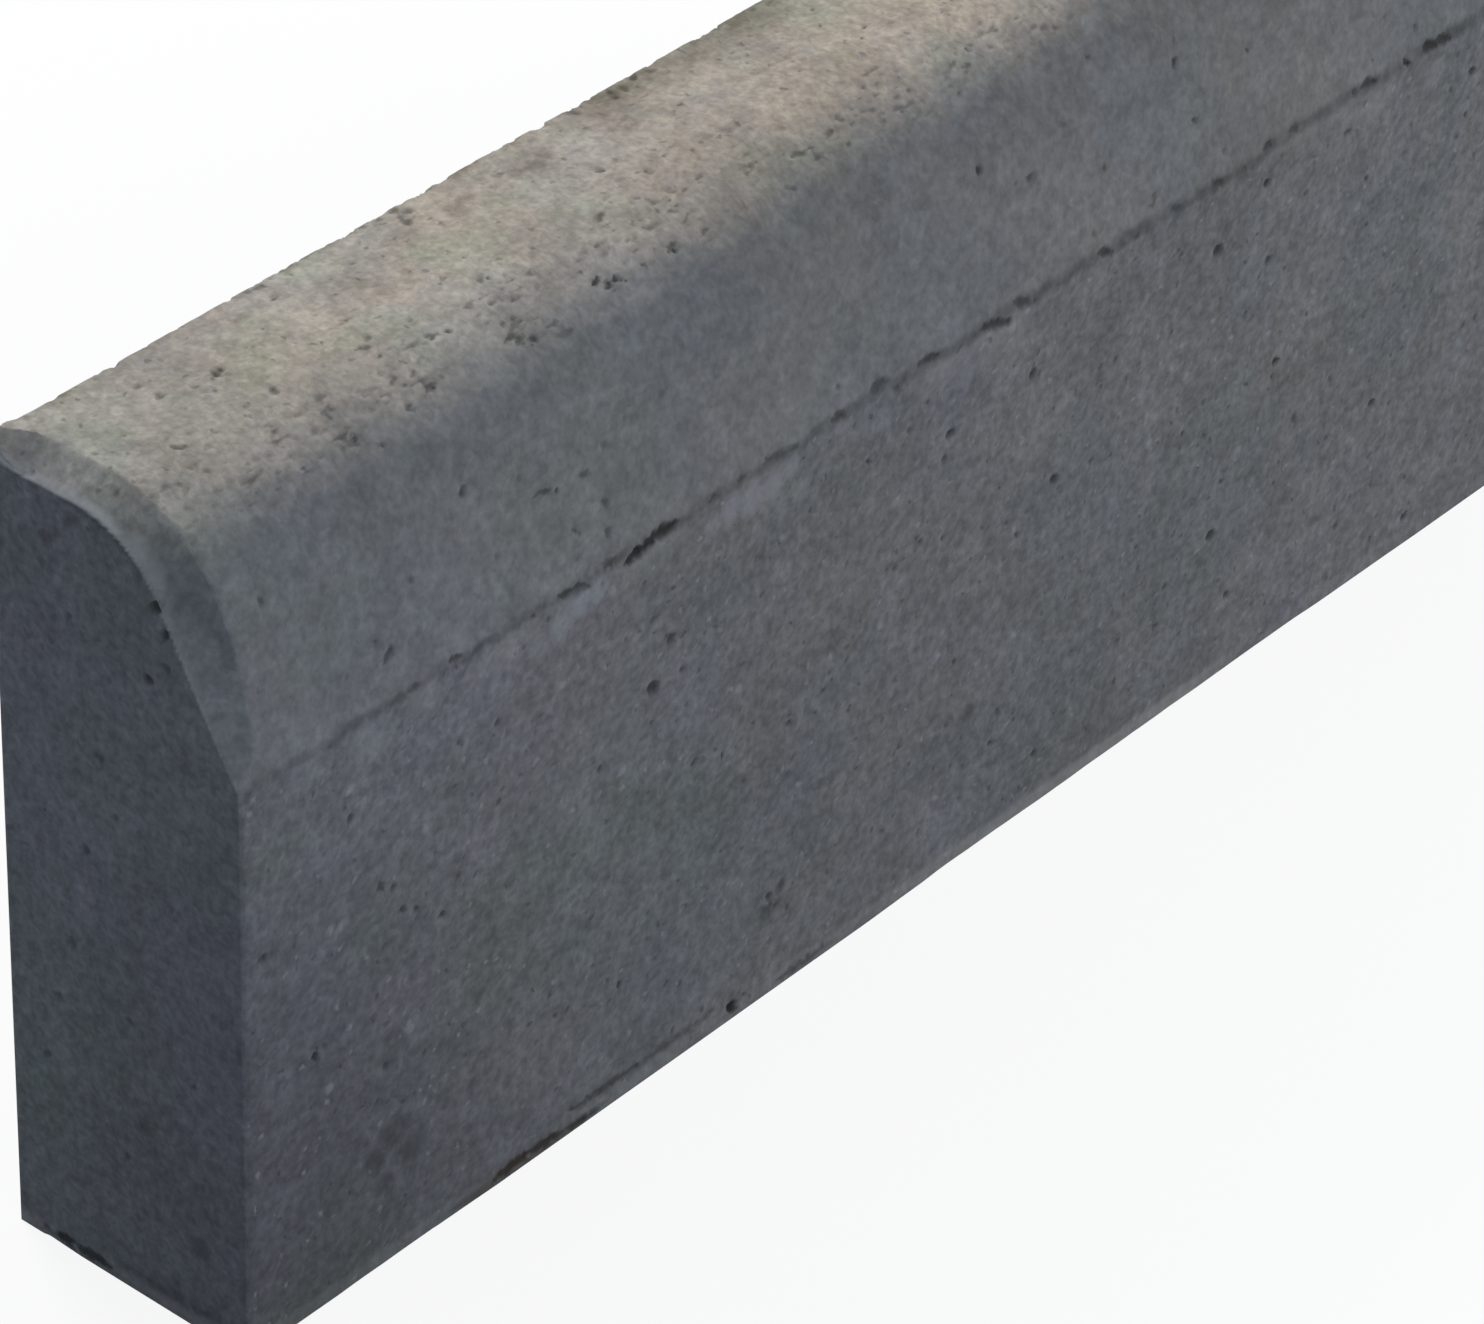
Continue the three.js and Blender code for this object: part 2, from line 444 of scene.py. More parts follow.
@dataclass(frozen=True)
class Weathering:
    """What casting and handling do to the skin of the stone, in millimetres."""

    outline: KerbOutline
    line: MouldLine
    material: Material
    voxel: float = 1.15
    face_budget: int = 190_000
    needle: float = 0.02
    arris_angle: float = 20.0
    swell: float = 0.4
    swell_grain: float = 75.0
    ripple: float = 0.12
    ripple_grain: float = 9.0
    crown_ripple: float = 0.35
    crown_grain: float = 5.0
    tick_depth: float = 0.35
    hole_density: float = 650.0
    hole_reach: tuple[float, float] = (0.8, 1.8)
    hole_shape: float = 0.5
    line_reach: float = 2.9
    line_depth: float = 0.4
    arris_reach: float = 1.7
    arris_depth: float = 0.55
    ragged_reach: float = 3.2
    ragged_depth: float = 1.1
    tag_run: float = 13.0
    tag_height: float = 6.0
    full_foot: float = 1.6
    scoop_depth: float = 0.45
    tear_step: float = 0.9
    chance_from: float = 640.0
    clear_end: float = 30.0
    kept_weight: float = 0.05
    seed: int = 11

    def sizes(self) -> dict[str, float]:
        """Name the sizes that the node tree takes.

        Returns:
            Each size by its name on the tree, in metres and radians.
        """
        lengths = "swell ripple crown_ripple tick_depth line_reach line_depth arris_reach"
        lengths += " arris_depth ragged_reach ragged_depth tag_height scoop_depth"
        names = {name: name.replace("_", " ").title() for name in lengths.split()}
        return {title: getattr(self, name) * MM for name, title in names.items()} | {
            "Arris Angle": math.radians(self.arris_angle),
            "Hole Density": self.hole_density,
            "Hole Least Reach": self.hole_reach[0] * MM,
            "Hole Most Reach": self.hole_reach[1] * MM,
            "Hole Shape": self.hole_shape,
        }

    def sink(self, tree: NodeTree, cloud: Any, at: Any) -> tuple[Any, Any]:
        """Add the nodes that sink a flaw at each point of a cloud.

        Args:
            tree: Node tree of the weathering.
            cloud: Node with the points, which carry their reach, depth and tone.
            at: Node with the place to measure from.

        Returns:
            The nodes with how strongly the nearest flaw colours the place, and how deep it lies.
        """
        put = partial(add, tree)
        points = cloud.outputs["Geometry"]
        nearest = put("GeometryNodeSampleNearest", points, at, domain="POINT")
        found = {}
        for name in ("reach", "depth", "tone"):
            value = put("GeometryNodeInputNamedAttribute", name, data_type="FLOAT")
            found[name] = put("GeometryNodeSampleIndex", points, value, nearest, data_type="FLOAT")
        here = put("GeometryNodeInputPosition")
        centre = put("GeometryNodeSampleIndex", points, here, nearest, data_type="FLOAT_VECTOR")
        share = put(OVER, put(DISTANCE, at, centre), found["reach"])
        inside = put(SMOOTH, share, 1.25, 0.45)
        return put(TIMES, inside, found["tone"]), put(TIMES, inside, found["depth"])

    def tree(self) -> NodeTree:
        """Build the Geometry Nodes tree that weathers the stone.

        Returns:
            The tree, with named inputs for its sizes.
        """
        tree = bpy.data.node_groups.new("Kerb weathering", "GeometryNodeTree")
        face = tree.interface
        face.new_socket("Geometry", in_out="OUTPUT", socket_type="NodeSocketGeometry")
        kinds = {"Geometry": "Geometry", "Casting": "Object", "Flaws": "Object"}
        kinds |= {"Grains": "Object", "Finish": "Material", "Low": "Vector", "High": "Vector"}
        kinds |= {name: "Float" for name in self.sizes()}
        for name, kind in kinds.items():
            face.new_socket(name, in_out="INPUT", socket_type=f"NodeSocket{kind}")

        put = partial(add, tree)
        given = {socket.name: socket for socket in put("NodeGroupInput").outputs}
        here = put("GeometryNodeInputPosition")
        xyz = put(SPLIT, here)
        run, depth, rise = xyz.outputs
        casting = put(OBJECT, given["Casting"]).outputs["Geometry"]
        right, back, line, top = self.outline.edges()
        left, fore = -right, -back

        # The fine skin goes back on the faces of the casting.
        seat = put("GeometryNodeSampleNearestSurface", casting, here, data_type="FLOAT_VECTOR")
        skin = put(MOVE, given["Geometry"], None, seat)
        normal = put("GeometryNodeInputNormal")

        # Distance to the nearest arris of the casting.
        bend = put("GeometryNodeInputMeshEdgeAngle")
        keen = put("FunctionNodeCompare", bend, given["Arris Angle"], operation="GREATER_THAN")
        parted = put("GeometryNodeSeparateGeometry", casting, keen, domain="EDGE")
        near = put("GeometryNodeProximity", parted, target_element="EDGES")
        gap = near.outputs["Distance"]
        off_middle = put(UNSIGNED, put(SPLIT, near.outputs["Position"]))
        rim = put(RANGE, off_middle, *past(right, -2, -1))
        rim = put(TIMES, rim, put(RANGE, rise, *past(line, -15, 50)))

        # Places: the crown, the brow in front of it, the end bevels, and the crown's back arris.
        crown = put(RANGE, rise, *past(top, -14, -2))
        brow_out = put(RANGE, rise, *past(top, -2.5, -0.5), 1, 0)
        brow = put(TIMES, put(RANGE, rise, *past(top, -15, -11)), brow_out)
        tilt = put(UNSIGNED, put(SPLIT, normal))
        bevel = put(TIMES, put(RANGE, tilt, 0.15, 0.4), put(RANGE, tilt, 0.93, 0.99, 1, 0))
        back_top = put(TIMES, put(RANGE, depth, *past(back, -9, -1)), crown)

        # Faces swell and ripple, the crown the most.
        swell = put(NOISE, here, per_metre(self.swell_grain), 2)
        sunk = put(RANGE, swell, 0.3, 0.7, 0, given["Swell"])
        ripple = put(NOISE, here, per_metre(self.ripple_grain), 2)
        rippled = put(RANGE, ripple, 0.25, 0.75, 0, given["Ripple"])
        rough = put(NOISE, here, per_metre(self.crown_grain), 3, 0.6)
        crowned = put(TIMES, put(RANGE, rough, 0.25, 0.75, 0, given["Crown Ripple"]), crown)

        # The tamper tore short ticks in the brow, and here and there in the crown.
        drawn = put(STRETCH, here, (0.45, 1, 1))
        tick = put(RANGE, put(NOISE, drawn, per_metre(2.1), 1, 0.5), 0.585, 0.68)
        patch = put(NOISE, here, per_metre(19), 2)
        on_brow = put(TIMES, put(RANGE, patch, 0.44, 0.58), brow)
        on_crown = put(TIMES, put(RANGE, patch, 0.55, 0.68, 0, 0.6), crown)
        off_bevel = put(RANGE, bevel, 0, 0.5, 1, 0)
        ticked = put(TIMES, tick, put(TIMES, put(MOST, on_brow, on_crown), off_bevel))
        folded = put(TIMES, ticked, given["Tick Depth"])

        # Blow holes: some anywhere, and some at known places. Their rims are ragged.
        rag = put(NOISE, here, per_metre(2.6), 2).outputs["Color"]
        pulled = put(STRETCH, put(SHIFT_BACK, rag, (0.5, 0.5, 0.5)), (3.6 * MM,) * 3)
        at = put(SHIFT, here, pulled)
        thick = put(TIMES, put(RANGE, crown, 0, 1, 1, 2), given["Hole Density"])
        sown = put("GeometryNodeDistributePointsOnFaces", skin, None, thick, self.seed)
        luck = put("FunctionNodeRandomValue", 0, 1, None, self.seed + 1)
        least, most = given["Hole Least Reach"], given["Hole Most Reach"]
        reach = put(RANGE, put(POWER, luck, 4), None, None, least, most)
        sunk_by = put(TIMES, reach, given["Hole Shape"])
        tone = put("FunctionNodeRandomValue", 0.1, 0.65, None, self.seed + 2)
        for name, value in (("reach", reach), ("depth", sunk_by), ("tone", tone)):
            sown = put(STORE, sown, None, name, value)
        chance = self.sink(tree, sown, at)
        known = self.sink(tree, put(OBJECT, given["Flaws"]), at)
        grain = self.sink(tree, put(OBJECT, given["Grains"]), at)
        grained = put(PLUS, put(MOST, chance[1], known[1]), grain[1])

        # The mould line is an uneven groove.
        off, openness = self.line.trace(tree, xyz)
        side = put(TIMES, put(RANGE, openness, 0, 1, 0.4, 1.1), given["Line Reach"])
        groove = put(SMOOTH, put(OVER, off, side), 1, 0)
        opened = put(TIMES, groove, put(RANGE, depth, *past(fore, 2, 1)), openness)
        lined = put(TIMES, opened, given["Line Depth"])

        # Arrises crumble, the back one of the crown the most.
        crumb = put(NOISE, here, per_metre(9), 4, 0.7)
        bite = put(RANGE, crumb, 0.4, 0.72, 0.1, 1.4)
        bite = put(MIX, back_top, bite, put(RANGE, crumb, 0.5, 0.66, 0, 1.4))
        bite = put(TIMES, bite, put(RANGE, rise, *past(0, 2, 8), 0.25, 1))
        worn_reach = put(MIX, back_top, given["Arris Reach"], given["Ragged Reach"])
        worn_depth = put(MIX, back_top, given["Arris Depth"], given["Ragged Depth"])
        below = put(TIMES, put(RANGE, tilt, 0.9, 0.98), rim)
        whole = put(RANGE, below, 0, 1, 1, 0.45)
        far = put(TIMES, worn_reach, put(MIX, rim, bite, 1.3), whole)
        edge = put(RANGE, put(OVER, gap, far), 1, 0)
        worn = put(TIMES, put(POWER, edge, 2), bite, worn_depth)

        # The bevel is a little hollow. The left one has a tag of concrete on it at the back.
        scoop = put(TIMES, put(SMOOTH, gap, 0, 5.5 * MM), given["Scoop Depth"])
        tag = put(RANGE, depth, *past(back, -self.tag_run, 0))
        tag = put(TIMES, tag, put(RANGE, run, 0, 0.2 * left), given["Tag Height"])
        dished = put(TIMES, put(MINUS, scoop, tag), bevel)

        # The foot kept its full arris on two stretches of the front and along the left end.
        kept_far = put(RANGE, run, *past(left, 545, 620))
        full = put(MOST, span(tree, run, left, 85, 115, 300, 340), kept_far)
        at_end = put(RANGE, run, *past(left, 8, 5))
        for ends in ((2, 12), (88, 72)):
            at_end = put(TIMES, at_end, put(RANGE, depth, *past(fore, *ends)))
        full = put(MOST, put(TIMES, full, put(RANGE, depth, *past(fore, 8, 5))), at_end)
        close = put(RANGE, gap, *past(0, 4, 2))
        low = put(RANGE, rise, *past(0, 8, 5))
        filled = put(TIMES, full, close, low, -self.full_foot * MM)

        inward = put(PLUS, sunk, rippled, crowned, folded, grained, lined, worn, dished, filled)
        outward = put(TIMES, inward, -1)
        moved = put(SHIFT, here, put(STRETCH, normal, put(JOIN, outward, outward, outward)))
        held = put(KEEP_UNDER, put(KEEP_OVER, moved, given["Low"]), given["High"])

        # What the finish and the thinning of the mesh need to know.
        # Arrises are paler where rubbed; along the end's upper arris, and in strips of the bevel
        # beside it, the pale is a painted highlight.
        bow = put(TIMES, rim, put(RANGE, depth, *past(0, -20, -6), 0.5, 1))
        rubbed = put(TIMES, edge, put(RANGE, bow, 0, 1, 0.2, 1), put(RANGE, below, 0, 1, 1, 0))
        beside = put(SMOOTH, gap, *past(0, 4.8, 2.2), 0, 0.46)
        thread = put(
            TIMES,
            put(RANGE, gap, *past(0, 3.5, 2.3), 0, 0.75),
            put(RANGE, depth, *past(0, -6, 0)),
            put(RANGE, depth, *past(0, 12, 22), 1, 0.5),
        )
        flare = put(
            TIMES,
            put(RANGE, gap, *past(0, 9.5, 4.5), 0, 0.5),
            put(RANGE, depth, *past(0, -24, -17)),
            put(RANGE, depth, *past(0, -7, -2), 1, 0),
        )
        rubbed = put(MOST, rubbed, put(TIMES, put(MOST, beside, thread, flare), bow, bevel))
        # The skin is darker along the end's side of the bevel's lower arris and in the arris
        # itself.
        rim_darkening = put(TIMES, put(RANGE, gap, *past(0, 2.8, 0.9), 0, 0.4), below)
        corner = put(TIMES, put(RANGE, gap, *past(0, 0.9, 0.4), 0, 0.3), rim)
        rim_darkening = put(
            TIMES,
            put(MOST, rim_darkening, corner),
            put(RANGE, depth, *past(0, -12, -6)),
            put(RANGE, depth, *past(0, 18, 24), 1, 0.3),
        )
        # Painted shade darkens the insides of holes, tears, breaks and ticks; the smudges and foot
        # stains among the flaws darken as stains, and the darker arris line joins them.
        dark = put(MOST, chance[0], known[0], rim_darkening, put(TIMES, ticked, 0.5))
        kept = put(PLUS, dark, grain[0], opened, put(TIMES, edge, rim))
        shape = skin
        marks = {"hollow": dark, "grain": grain[0], "rubbed": rubbed, KEPT: kept}
        for name, value in marks.items():
            shape = put(STORE, shape, None, name, value)
        shape = put("GeometryNodeTriangulate", put(MOVE, shape, None, held))
        shape = put("GeometryNodeRealizeInstances", shape)
        put("NodeGroupOutput", put("GeometryNodeSetMaterial", shape, None, given["Finish"]))
        return tree

    def points(self, name: str, known: list[Flaw]) -> Object:
        """Make the points that stand for flaws at known places.

        Args:
            name: Name of the helper.
            known: The flaws.

        Returns:
            The helper object, whose points carry their reach, depth and tone.
        """
        mesh = bpy.data.meshes.new(name)
        mesh.from_pydata([self.outline.place(f.face, f.run, f.rise) for f in known], [], [])
        for mark, unit in (("reach", MM), ("depth", MM), ("tone", 1.0)):
            data = mesh.attributes.new(mark, "FLOAT", "POINT").data
            data.foreach_set("value", [getattr(flaw, mark) * unit for flaw in known])
        return place_object(name, mesh)

    def tears(self) -> list[Flaw]:
        """Set flaws along each tear, and tear the far part of the mould line at random.

        Returns:
            The flaws, close enough together to run into one another.
        """
        draw = random.Random(self.seed)
        spread = MOULD_TEARS + NOSE_TEARS + FOOT_STAINS
        run = self.chance_from
        while run < self.outline.length - self.clear_end:
            long, reach, lift = draw.uniform(3, 15), draw.uniform(1.4, 2.4), draw.uniform(-1, 2)
            spread.append(Tear(run, run + long, lift, lift + draw.uniform(-1, 1), reach, reach / 3))
            run += long + draw.uniform(8, 38)
        found = []
        for tear in spread:
            count = max(3, round((tear.end - tear.start) / self.tear_step))
            for step in range(count + 1):
                share = step / count
                taper = math.sin(math.pi * (0.12 + 0.76 * share)) ** 0.7 * draw.uniform(0.75, 1.0)
                rise = tear.first_rise + share * (tear.last_rise - tear.first_rise)
                rise += draw.uniform(-0.35, 0.35)
                run = tear.start + share * (tear.end - tear.start)
                reach = tear.reach * taper
                depth = reach * tear.shape * tear.tone
                found.append(Flaw(tear.face, run, rise, reach, depth, tear.tone))
        return found

    def thinned(self, dense: Object) -> Mesh:
        """Thin the fine skin down to the face budget, and leave it as it is at the flaws.

        Args:
            dense: The weathered stone in fine triangles.

        Returns:
            The thinned mesh.
        """
        fine = dense.data
        weights = [0.0] * len(fine.vertices)
        fine.attributes[KEPT].data.foreach_get("value", weights)
        fine.attributes.remove(fine.attributes[KEPT])
        group = dense.vertex_groups.new(name=KEPT)
        flawed = [place for place, weight in enumerate(weights) if weight > self.kept_weight]
        group.add(flawed, 1.0, "REPLACE")
        fewer = dense.modifiers.new("Fewer faces", "DECIMATE")
        fewer.vertex_group = KEPT
        fewer.invert_vertex_group = True
        fewer.ratio = min(1.0, self.face_budget / len(fine.polygons))
        return plain_mesh(dense, "kerb stone")

    def clear_needles(self, mesh: Mesh) -> None:
        """Take out the needle-thin faces that thinning leaves. The mesh stays closed.

        Args:
            mesh: The thinned mesh, in triangles before and after.
        """
        work = bmesh.new()
        work.from_mesh(mesh)
        bmesh.ops.dissolve_degenerate(work, dist=self.needle * MM, edges=work.edges)
        bmesh.ops.triangulate(work, faces=[face for face in work.faces if len(face.verts) > 3])
        work.to_mesh(mesh)
        work.free()

    def weather(self, casting: Mesh) -> Mesh:
        """Weather a copy of the casting.

        Args:
            casting: The stone as the mould gives it, closed, with its doubles merged.

        Returns:
            The weathered stone, closed, within its box and its face budget.
        """
        low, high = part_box(NODE)
        hollows = BLOW_HOLES + BACK_ARRIS_BREAKS + SMUDGES + self.tears()
        helpers = {
            "Casting": place_object("casting", casting),
            "Flaws": self.points("flaws", hollows),
            "Grains": self.points("grains", SAND_GRAINS + LIME_PATCHES),
        }
        blank = place_object("blank", casting.copy())
        remesh = blank.modifiers.new("Fine skin", "REMESH")
        remesh.mode = "VOXEL"
        remesh.voxel_size = self.voxel * MM
        nodes = blank.modifiers.new("Weathering", "NODES")
        nodes.node_group = self.tree()
        values = self.sizes() | helpers
        values |= {"Finish": self.material, "Low": tuple(low), "High": tuple(high)}
        for item in nodes.node_group.interface.items_tree:
            if item.in_out == "INPUT" and item.name in values:
                nodes[item.identifier] = values[item.name]
        fine = plain_mesh(blank, "fine skin")
        log.info("fine skin: %d triangles", len(fine.polygons))
        dense = place_object("dense", fine)
        mesh = self.thinned(dense)
        for vertex in mesh.vertices:
            vertex.co = [min(max(v, a), b) for v, a, b in zip(vertex.co, low, high)]
        self.clear_needles(mesh)
        for helper in (*helpers.values(), blank, dense):
            bpy.data.objects.remove(helper)
        return mesh


@dataclass(frozen=True)
class PressedConcrete:
    """Vibration-pressed grey concrete: a close, matt cement skin over fine sand, with no sheen.

    The skin is cool grey where it lay against the steel of the mould box, a little paler and
    smoother on the stamped flank, and carries a pale warm bloom of lime on the crown. Part of the
    crown's paleness is painted light on the top.
    """

    outline: KerbOutline
    line: MouldLine
    wall: str = "#6b6e72"
    # The end's darker grey is painted shade, as on a face turned from the light.
    end: str = "#5c6065"
    flank: str = "#707376"
    bloom_and_light: str = "#9d958c"
    bloom_pale: str = "#a9a297"
    bloom_green: str = "#9c9b8d"
    # Near black: the painted shade inside holes, tears and the mould line, and dark sand grains.
    hole: str = "#1d1e20"
    sand: str = "#9b9c9c"
    grit: str = "#969ba3"
    dust: str = "#b0afae"
    rubbed: str = "#b2b5b7"
    rust: str = "#4a3f36"
    olive_dark: str = "#6b6557"
    line_shade: float = 0.50
    # Reach and depth of the painted shade at the foot of the near corner.
    corner_shade_reach: float = 235.0
    corner_shade: float = 0.74
    ior: float = 1.5
    gloss: float = 0.22

    def material(self) -> Material:
        """Build the finish.

        Returns:
            The material, with its colour, roughness and bump from nodes.
        """
        material = bpy.data.materials.new("Pressed grey concrete, mould finish")
        material.use_nodes = True
        tree = material.node_tree
        tree.nodes.clear()
        put = partial(add, tree)
        coords = put("ShaderNodeTexCoord").outputs["Object"]
        xyz = put(SPLIT, coords)
        run, depth, rise = xyz.outputs
        tilt = put(UNSIGNED, put(SPLIT, put("ShaderNodeNewGeometry").outputs["Normal"]))
        right, back, line, top = self.outline.edges()
        left, fore = -right, -back
        stretch = partial(span, tree, run, left)

        # Where each face is. The bloom starts raggedly on the brow and grows towards the crown; it
        # is partly lime and partly painted light on the top.
        end = put(RANGE, tilt, 0.8, 0.97)
        bevel = put(RANGE, tilt, 0.2, 0.45)
        front = put(TIMES, put(RANGE, depth, *past(fore, 3, 1)), put(RANGE, tilt, 0.5, 0.2))
        flank = put(RANGE, rise, *past(line, -1, 1))
        flank = put(TIMES, flank, put(RANGE, depth, 0.2 * back, 0.8 * back, 1, 0))
        wall = put(TIMES, front, put(RANGE, rise, *past(line, 1, -1)))
        fray = put(NOISE, coords, per_metre(8), 4, 0.65)
        frayed = put(RANGE, fray, 0.3, 0.7, *past(0, -2, 2))
        lifted = put(PLUS, rise, frayed, put(TIMES, bevel, 3.5 * MM))
        start = put(RANGE, lifted, *past(top, -18, -12), 0, 0.26)
        crown = put(PLUS, start, put(RANGE, lifted, *past(top, -12, 0), 0, 0.74))
        open_face = put(RANGE, end, 0, 1, 1, 0)
        bloomed_and_lit = put(TIMES, crown, open_face, put(RANGE, bevel, 0, 1, 1, 0.7))

        # Ground colours. The end's darker grey is painted shade.
        drift = put(NOISE, coords, per_metre(42), 2)
        pale = put(RANGE, drift, 0.42, 0.62)
        patch = put(NOISE, coords, per_metre(33), 3)
        green = put(RANGE, patch, 0.5, 0.66, 0, 0.8)
        cream = put(BLEND, pale, linear(self.bloom_and_light), linear(self.bloom_pale))
        cream = put(BLEND, green, cream, linear(self.bloom_green))
        ground = put(BLEND, flank, linear(self.wall), linear(self.flank))
        ground = put(BLEND, end, ground, linear(self.end))
        ground = put(BLEND, bloomed_and_lit, ground, cream)

        # Broad patches, clouds and grains make the value vary, and the sand under the skin shows
        # as small spots with pulled outlines. They stand out most in the crown.
        pull = put(NOISE, coords, per_metre(3), 1).outputs["Color"]
        pull = put(STRETCH, put(SHIFT_BACK, pull, (0.5, 0.5, 0.5)), (4.0 * MM,) * 3)
        warped = put(SHIFT, coords, pull)
        shade = put(RANGE, drift, 0.3, 0.7, 0.95, 1.05)
        for grain, detail, swing in ((75, 3, 0.07), (14, 3, 0.11), (4.2, 2, 0.19)):
            noise = put(NOISE, coords, per_metre(grain), detail, 0.5)
            shade = put(TIMES, shade, put(RANGE, noise, 0.3, 0.7, 1.0 - swing, 1.0 + swing))
        sand = put(RANGE, put(NOISE, warped, per_metre(2.1), 1, 0.6), 0.3, 0.7, -1, 1)
        spotted = put(TIMES, sand, put(RANGE, crown, 0, 1, 0.08, 0.13))
        cells = put(CELLS, warped, per_metre(4.4))
        picks = put(SPLIT, cells.outputs["Color"])
        picked = put(RANGE, picks, 0, 1, 0.93, 1.07)
        shade = put(TIMES, shade, put(PLUS, spotted, 1), picked)
        calm = put(RANGE, put(MOST, wall, end), 0, 1, 0.76, 1)
        shade = put(MIX, calm, 1, shade)

        # Painted shade: the foot of the near corner is dark, and a little purple.
        apart = put(STRETCH, put(SHIFT_BACK, coords, (left, fore, 0)), (1, 2, 1))
        from_corner = put(SMOOTH, put(LENGTH, apart), 0, self.corner_shade_reach * MM)
        shade = put(TIMES, shade, put(RANGE, from_corner, 0, 1, self.corner_shade, 1))

        # The foot of the front at the near end has painted shade too. The flank darkens a little
        # towards the far end and under the brow, and the crown is paler on some stretches.
        near = put(TIMES, wall, put(RANGE, run, *past(left, 120, 40), 0, 0.16))
        near = put(TIMES, near, put(RANGE, rise, *past(0, 165, 90)))
        farther = put(RANGE, run, 0.5 * left, 0.2 * right)
        brow_out = put(RANGE, rise, *past(top, -14, -8), 1, 0)
        under_brow = put(TIMES, put(RANGE, rise, *past(top, -48, -24)), brow_out, flank)
        shaded = put(TIMES, under_brow, put(RANGE, farther, 0, 1, 0.05, 0.11))
        near_back = put(TIMES, crown, put(RANGE, depth, *past(back, -18, -5)))
        thick = put(PLUS, stretch(70, 115, 225, 262), stretch(335, 385, 470, 560))
        thick = put(PLUS, thick, put(TIMES, stretch(105, 118, 140, 165), near_back))
        paler = put(TIMES, bloomed_and_lit, thick, -0.11)
        dim = put(TIMES, farther, flank, 0.05)
        # Painted shade: the wall is darker just under the mould line along its far part.
        under_line = put(TIMES, wall, put(RANGE, rise, *past(line, -18, -4), 0, 0.065))
        under_line = put(TIMES, under_line, stretch(280, 320, 575, 600))
        over_line = put(TIMES, flank, put(RANGE, rise, *past(line, 24, 5), 0, -0.05))
        over_line = put(TIMES, over_line, stretch(50, 80, 240, 290))
        low_bevel = put(
            TIMES,
            bevel,
            put(RANGE, depth, *past(0, -15, -21)),
            put(RANGE, run, *past(left, 2, 8), -0.06, -0.17),
            open_face,
            put(RANGE, rise, *past(line, 8, 24)),
        )
        dim = put(PLUS, dim, near, shaded, paler, under_line, over_line, low_bevel)
        shade = put(TIMES, shade, put(MINUS, 1, dim))
        colour = put(STRETCH, ground, put(JOIN, shade, shade, shade))

        # Faint drifts of hue: green and purple near the left end, and warm and cool beyond it. The
        # last
        # tint is painted light: cooler at the left end and warmer further along.
        away = put(RANGE, run, left, 0.35 * left)
        hue = put(RANGE, put(NOISE, coords, per_metre(85), 4, 0.6), 0.38, 0.62)
        least = ((flank, 0.65), (away, 0.35), (bloomed_and_lit, 0.4))
        tinted = put(TIMES, *(put(RANGE, part, 0, 1, 1, share) for part, share in least))
        elsewhere = put(SHIFT, coords, (1, 2, 3))
        warmth = put(RANGE, put(NOISE, elsewhere, per_metre(60), 3, 0.6), 0.38, 0.62)
        warmed = put(TIMES, put(MOST, put(RANGE, away, 0, 1, 0.3, 1), bloomed_and_lit), open_face)
        for amount, pick, cool, warm in (
            (tinted, hue, (0.962, 1.02, 0.982, 1), (1.012, 0.966, 1.04, 1)),
            (warmed, warmth, (0.972, 1, 1.03, 1), (1.028, 1, 0.97, 1)),
            (1, away, (0.985, 1, 1.015, 1), (1.026, 0.998, 0.978, 1)),
        ):
            colour = put(TINT, amount, colour, put(BLEND, pick, cool, warm))
        colour = put(TINT, put(TIMES, under_brow, farther), colour, (0.97, 0.945, 0.895, 1))

        # Layers of colour, each with its mask, are laid on in this order at the end. First come a
        # pale film under the mould line, and pale and dark grains of sand in the skin.
        under = put(TIMES, put(RANGE, rise, *past(line, -20, -6)), wall)
        filmed = put(TIMES, put(RANGE, patch, 0.5, 0.64, 0, 0.28), under)
        layers = [(filmed, self.sand)]
        grainy = put(RANGE, put(MOST, wall, crown), 0, 1, 0.2, 1)
        for source, share, reach, tone, strength in (
            (picks.outputs["Y"], 0.86, 0.34, self.grit, 0.44),
            (picks.outputs["Z"], 0.84, 0.32, self.hole, 0.42),
        ):
            spot = put(RANGE, cells, reach, reach * 0.4, 0, strength)
            layers.append((put(TIMES, spot, put(ABOVE, source, share), grainy), tone))

        # The mould line, its tears and the holes are dark inside, which is painted shade.
        off, openness = self.line.trace(tree, xyz)
        beyond = put(RANGE, run, *past(left, 250, 310))
        side = put(RANGE, beyond, 0, 1, *past(0, 3.1, 4.3))
        seam = put(TIMES, put(SMOOTH, off, side, 0.4 * MM), front)
        shadow = put(RANGE, openness, 0, 1, 0.2, self.line_shade)
        shadow = put(TIMES, shadow, put(RANGE, beyond, 0, 1, 0.8, 0.98))
        hollow, grains, edge = (
            put("ShaderNodeAttribute", attribute_name=name).outputs["Fac"]
            for name in ("hollow", "grain", "rubbed")
        )
        layers += (put(TIMES, seam, shadow), self.hole), (hollow, self.hole), (grains, self.grit)

        # The crown's back arris is dark olive in its crumbled places, which is painted shade, and
        # on one stretch it is darker still.
        crumb_shade = put(
            TIMES,
            crown,
            put(RANGE, depth, *past(back, -4, -1)),
            put(RANGE, fray, 0.48, 0.6),
            put(RANGE, patch, 0.38, 0.56, 0, 0.75),
        )
        film = put(RANGE, fray, 0.35, 0.62, 0.15, 0.8)
        film = put(TIMES, near_back, stretch(238, 262, 335, 375), film)
        layers.append((put(MOST, crumb_shade, film), self.olive_dark))

